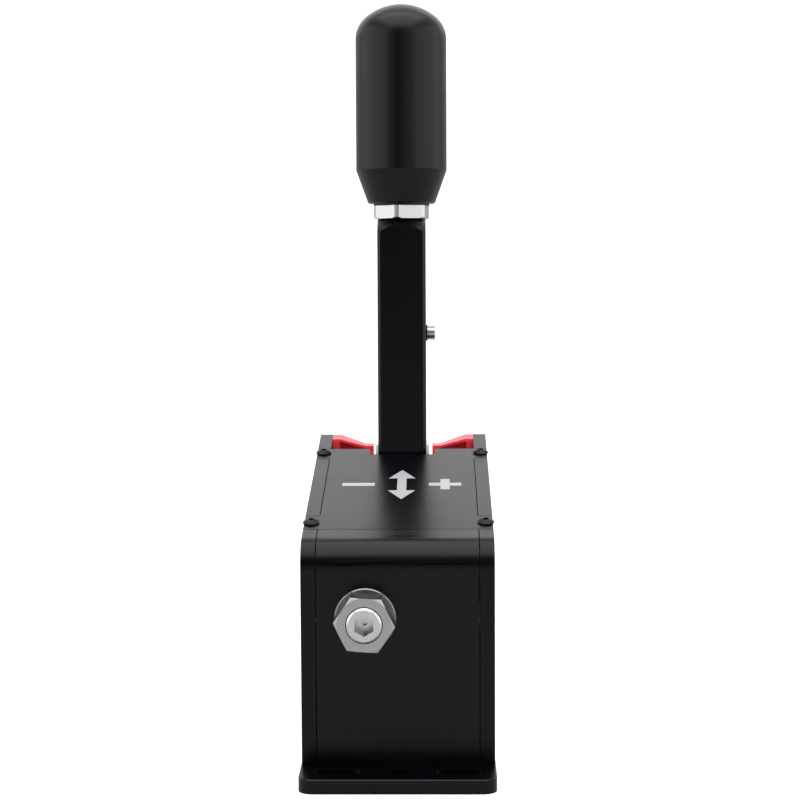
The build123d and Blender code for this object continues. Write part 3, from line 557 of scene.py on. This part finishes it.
@dataclass(frozen=True)
class Studio:
    """A pale floor and backdrop, soft lights and the camera."""

    left_box: SoftBox = SoftBox((-1.1, -0.3, 0.4), (0.0, 0.0, 0.13), (1.8, 1.2), 9.5)
    right_box: SoftBox = SoftBox((1.1, -0.3, 0.4), (0.0, 0.0, 0.13), (1.8, 1.2), 9.5)
    top_box: SoftBox = SoftBox((0.0, -0.4, 1.5), (0.0, -0.4, 0.0), (1.8, 1.9), 29.0)

    eye: Point = (0.0132, -0.7202, 0.1884)
    focal_pixels: float = 1954.0
    picture_pixels: float = 800.0
    sensor_width: float = 36.0
    pitch: float = math.radians(5.133)
    yaw: float = math.radians(-1.055)
    roll: float = math.radians(-0.303)
    floor_half: float = 3.0
    backdrop_y: float = 2.4
    backdrop_height: float = 3.0
    backdrop_bend: float = 0.8
    bend_steps: int = 16
    paper: float = 0.4
    paper_roughness: float = 0.9
    paper_seen: float = 0.92
    floor_glow: float = 0.16
    backdrop_glow: float = 1.35
    glow_starts: float = 0.3
    glow_ends: float = 1.2
    room_glow: float = 0.8
    card_x: float = -0.2
    card_half_width: float = 0.4
    card_y: float = -1.6
    card_low: float = 0.14
    card_high: float = 1.3

    def camera(self) -> None:
        """Sets the camera where the picture was taken from."""
        theta, psi, rho = self.pitch, self.yaw, self.roll
        ahead = Vector(
            (math.sin(psi) * math.cos(theta), math.cos(psi) * math.cos(theta), -math.sin(theta))
        )
        level = Vector((math.cos(psi), -math.sin(psi), 0.0))
        upright = level.cross(ahead)
        right = level * math.cos(rho) + upright * math.sin(rho)
        up = upright * math.cos(rho) - level * math.sin(rho)
        turned = Matrix((right, up, -ahead)).transposed().to_4x4()
        data = bpy.data.cameras.new("camera")
        data.sensor_width = self.sensor_width
        data.lens = self.focal_pixels / self.picture_pixels * self.sensor_width
        eye = bpy.data.objects.new("camera", data)
        eye.matrix_world = Matrix.Translation(self.eye) @ turned
        bpy.context.scene.collection.objects.link(eye)
        bpy.context.scene.camera = eye

    def sweep(self) -> None:
        """Lays the floor and its rise into the backdrop as one bent sheet."""
        bend = self.backdrop_bend
        profile = [(-self.floor_half, 0.0)]
        for step in range(self.bend_steps + 1):
            turn = math.pi / 2 * step / self.bend_steps
            y = self.backdrop_y - bend + bend * math.sin(turn)
            profile.append((y, bend - bend * math.cos(turn)))
        profile.append((self.backdrop_y, self.backdrop_height))
        vertices = [(x, y, z) for x in (-self.floor_half, self.floor_half) for y, z in profile]
        count = len(profile)
        faces = [(i, i + count, i + count + 1, i + 1) for i in range(count - 1)]
        mesh = bpy.data.meshes.new("sweep")
        mesh.from_pydata(vertices, [], faces)
        mesh.shade_smooth()
        sheet = bpy.data.objects.new("sweep", mesh)
        bpy.context.scene.collection.objects.link(sheet)
        made = bpy.data.materials.new("pale_paper")
        made.use_nodes = True
        shader = Shader(made.node_tree)
        back = shader.band(shader.part("Z"), self.glow_starts, self.glow_ends)
        glow = shader.blend(back, grey(self.floor_glow), grey(self.backdrop_glow))
        seen = shader.wire("ShaderNodeLightPath", output="Is Camera Ray")
        paper = shader.wire(
            "ShaderNodeBsdfPrincipled",
            values={
                "Base Color": grey(self.paper),
                "Roughness": self.paper_roughness,
                "Specular IOR Level": 0.0,
                "Emission Color": shader.blend(seen, glow, grey(self.paper_seen)),
                "Emission Strength": 1.0,
            },
        )
        shader.node("ShaderNodeOutputMaterial", values={"Surface": paper})
        mesh.materials.append(made)

    def world(self) -> None:
        """A dim room round the object that the camera sees as pale."""
        room = bpy.data.worlds.new("room")
        bpy.context.scene.world = room
        room.use_nodes = True
        shader = Shader(room.node_tree)
        seen = shader.wire("ShaderNodeLightPath", output="Is Camera Ray")
        dim, pale = (
            shader.wire("ShaderNodeBackground", values={"Color": WHITE_LIGHT, "Strength": glow})
            for glow in (self.room_glow, 1.0)
        )
        both = shader.wire("ShaderNodeMixShader", values={0: seen, 1: dim, 2: pale})
        shader.node("ShaderNodeOutputWorld", values={"Surface": both})

    def card(self) -> None:
        """Stands a black card behind the camera, for the dark line down round and flat metal."""
        left = self.card_x - self.card_half_width
        right = self.card_x + self.card_half_width
        low, high = self.card_low, self.card_high
        corners = [(left, low), (right, low), (right, high), (left, high)]
        mesh = bpy.data.meshes.new("black_card")
        mesh.from_pydata([(x, self.card_y, z) for x, z in corners], [], [(0, 1, 2, 3)])
        made = bpy.data.materials.new("black_card")
        made.use_nodes = True
        shader = Shader(made.node_tree)
        values = {"Base Color": grey(0.0), "Roughness": 1.0, "Specular IOR Level": 0.0}
        black = shader.wire("ShaderNodeBsdfPrincipled", values=values)
        shader.node("ShaderNodeOutputMaterial", values={"Surface": black})
        mesh.materials.append(made)
        sheet = bpy.data.objects.new("black_card", mesh)
        sheet.visible_camera = False
        sheet.visible_shadow = False
        bpy.context.scene.collection.objects.link(sheet)

    def light(self, name: str, box: SoftBox) -> None:
        """Hangs one soft box.

        Args:
            name: Its name.
            box: Where it hangs, what it is aimed at, its size and its watts.
        """
        data = bpy.data.lights.new(name, "AREA")
        data.shape = "RECTANGLE"
        data.size, data.size_y = box.size
        data.energy = box.watts
        lamp = bpy.data.objects.new(name, data)
        lamp.location = box.at
        lamp.rotation_euler = (Vector(box.aim) - Vector(box.at)).to_track_quat("-Z", "Y").to_euler()
        lamp.visible_camera = False
        bpy.context.scene.collection.objects.link(lamp)

    def build(self) -> None:
        """Sets up the whole studio."""
        self.camera()
        self.sweep()
        self.card()
        self.world()
        self.light("left_box", self.left_box)
        self.light("right_box", self.right_box)
        self.light("top_box", self.top_box)
        bpy.context.scene.view_settings.view_transform = "Standard"
        log.info("studio ready")


@dataclass(frozen=True)
class Housing:
    """Plates, base and the screws that hold them."""

    plate_finish: Finish = BLACK
    panel_finish: Bent = Bent(
        "bent_black", BLACK.slot, BLACK.colour, roughness=BLACK.roughness, reflectance=0.19
    )
    screw_finish: Finish = OXIDE
    mark: TopMark = TopMark()

    def build(self, frame: Frame) -> None:
        """Dresses the plates and lays the mark.

        Args:
            frame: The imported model.
        """
        frame.dress(self.plate_finish, "base_plate", "left_side_plate", "right_side_plate")
        frame.dress(self.plate_finish, "rear_panel", "top_plate")
        frame.dress(self.panel_finish, "front_panel")
        frame.dress(self.screw_finish, "top_plate_screws", "base_screws", "panel_screws")
        self.mark.build(frame)


@dataclass(frozen=True)
class SlotGuides:
    """The two red guides beside the lever's slot, and their screws."""

    guide_finish: Finish = RED
    screw_finish: Finish = OXIDE

    def build(self, frame: Frame) -> None:
        """Dresses the guides.

        Args:
            frame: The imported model.
        """
        frame.dress(self.guide_finish, "left_slot_guide", "right_slot_guide")
        frame.dress(self.screw_finish, "slot_guide_screws")


@dataclass(frozen=True)
class PreloadAdjuster:
    """Washer, lock nut and preload screw on the front panel."""

    axis: Point = (-11.0 * MM, 0.0, 55.5 * MM)
    washer_colour: Colour = grey(0.16)
    screw_colour: Colour = grey(0.54)
    nut_finish: Finish = STEEL

    def build(self, frame: Frame) -> None:
        """Dresses the adjuster: lathe rings on the washer and the screw, a brushed nut.

        Args:
            frame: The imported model.
        """
        washer = Turned(
            "lathe_washer",
            STEEL.slot,
            self.washer_colour,
            metallic=STEEL.metallic,
            roughness=STEEL.roughness,
            centre=self.axis,
        )
        screw = replace(washer, name="lathe_screw", colour=self.screw_colour)
        frame.dress(washer, "preload_washer")
        frame.dress(self.nut_finish, "preload_lock_nut")
        frame.dress(screw, "preload_screw")


@dataclass(frozen=True)
class Lever:
    """The lever's tube and core, its slide pads and height lock."""

    tube_finish: Finish = BLACK
    core_finish: Finish = ALUMINIUM
    pad_finish: Finish = WHITE
    lock_finish: Finish = BRIGHT
    washer_finish: Finish = OXIDE

    def build(self, frame: Frame) -> None:
        """Dresses the lever.

        Args:
            frame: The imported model.
        """
        frame.dress(self.tube_finish, "lever_tube")
        frame.dress(self.core_finish, "lever_core")
        frame.dress(self.pad_finish, "slide_pads")
        frame.dress(self.lock_finish, "height_lock_screw")
        frame.dress(self.washer_finish, "height_lock_washer")


@dataclass(frozen=True)
class Knob:
    """The knob with its nut, ring, stud and insert."""

    knob_finish: Finish = KNOB
    ring_finish: Finish = OXIDE
    nut_finish: Finish = BRIGHT
    stud_finish: Finish = GROUND
    insert_finish: Finish = BRONZE

    def build(self, frame: Frame) -> None:
        """Dresses the knob.

        Args:
            frame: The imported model.
        """
        frame.dress(self.knob_finish, "knob")
        frame.dress(self.ring_finish, "knob_collar")
        frame.dress(self.nut_finish, "knob_nut")
        frame.dress(self.stud_finish, "knob_stud")
        frame.dress(self.insert_finish, "knob_insert")


@dataclass(frozen=True)
class Pivot:
    """The shaft on which the lever rocks, its bearings and its stops."""

    shaft_finish: Finish = GROUND
    screw_finish: Finish = OXIDE
    block_finish: Finish = ALUMINIUM
    bumper_finish: Finish = RUBBER

    def build(self, frame: Frame) -> None:
        """Dresses the pivot and the stops.

        Args:
            frame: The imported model.
        """
        frame.dress(self.shaft_finish, "pivot_shaft", "pivot_spacers", "bearing_inner_rings")
        frame.dress(self.shaft_finish, "bearing_outer_rings", "bearing_balls", "bearing_shields")
        frame.dress(self.screw_finish, "pivot_end_screws", "stop_block_screws")
        frame.dress(self.block_finish, "stop_block")
        frame.dress(self.bumper_finish, "stop_bumpers")


@dataclass(frozen=True)
class Centring:
    """The sprung rod that brings the lever back to the middle."""

    steel_finish: Finish = GROUND
    spring_finish: Finish = SPRING
    block_finish: Finish = ALUMINIUM
    bushing_finish: Finish = BRONZE
    screw_finish: Finish = OXIDE

    def build(self, frame: Frame) -> None:
        """Dresses the rod, its springs and its guide.

        Args:
            frame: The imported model.
        """
        frame.dress(self.steel_finish, "drive_pin", "drive_pin_clip", "drive_roller")
        frame.dress(self.steel_finish, "centring_rod", "rod_collar_clips", "yoke_jam_nut")
        frame.dress(self.spring_finish, "front_spring", "rear_spring")
        frame.dress(self.block_finish, "rod_guide_block", "spring_cup", "rod_collar", "rod_yoke")
        frame.dress(self.bushing_finish, "rod_guide_bushing")
        frame.dress(self.screw_finish, "rod_guide_screws")


@dataclass(frozen=True)
class SensorBoard:
    """The circuit board that reads the lever's place, and the cable socket."""

    board_finish: Finish = BOARD
    chip_finish: Finish = CHIP
    magnet_finish: Finish = MAGNET
    metal_finish: Finish = GROUND

    def build(self, frame: Frame) -> None:
        """Dresses the board.

        Args:
            frame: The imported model.
        """
        frame.dress(self.board_finish, "sensor_board")
        frame.dress(self.chip_finish, "board_components", "hall_sensor")
        frame.dress(self.magnet_finish, "hall_magnet")
        frame.dress(self.metal_finish, "board_standoffs", "board_screws", "usb_socket")


def main() -> None:
    """Builds the dressed shifter in its studio."""
    logging.basicConfig(level=logging.INFO, format="%(name)s: %(message)s")
    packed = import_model()
    frame = Frame(packed["nodes"])
    Studio().build()
    housing = (Housing(), SlotGuides(), PreloadAdjuster())
    inside = (Lever(), Knob(), Pivot(), Centring(), SensorBoard())
    for part in housing + inside:
        part.build(frame)


if __name__ == "__main__":
    main()
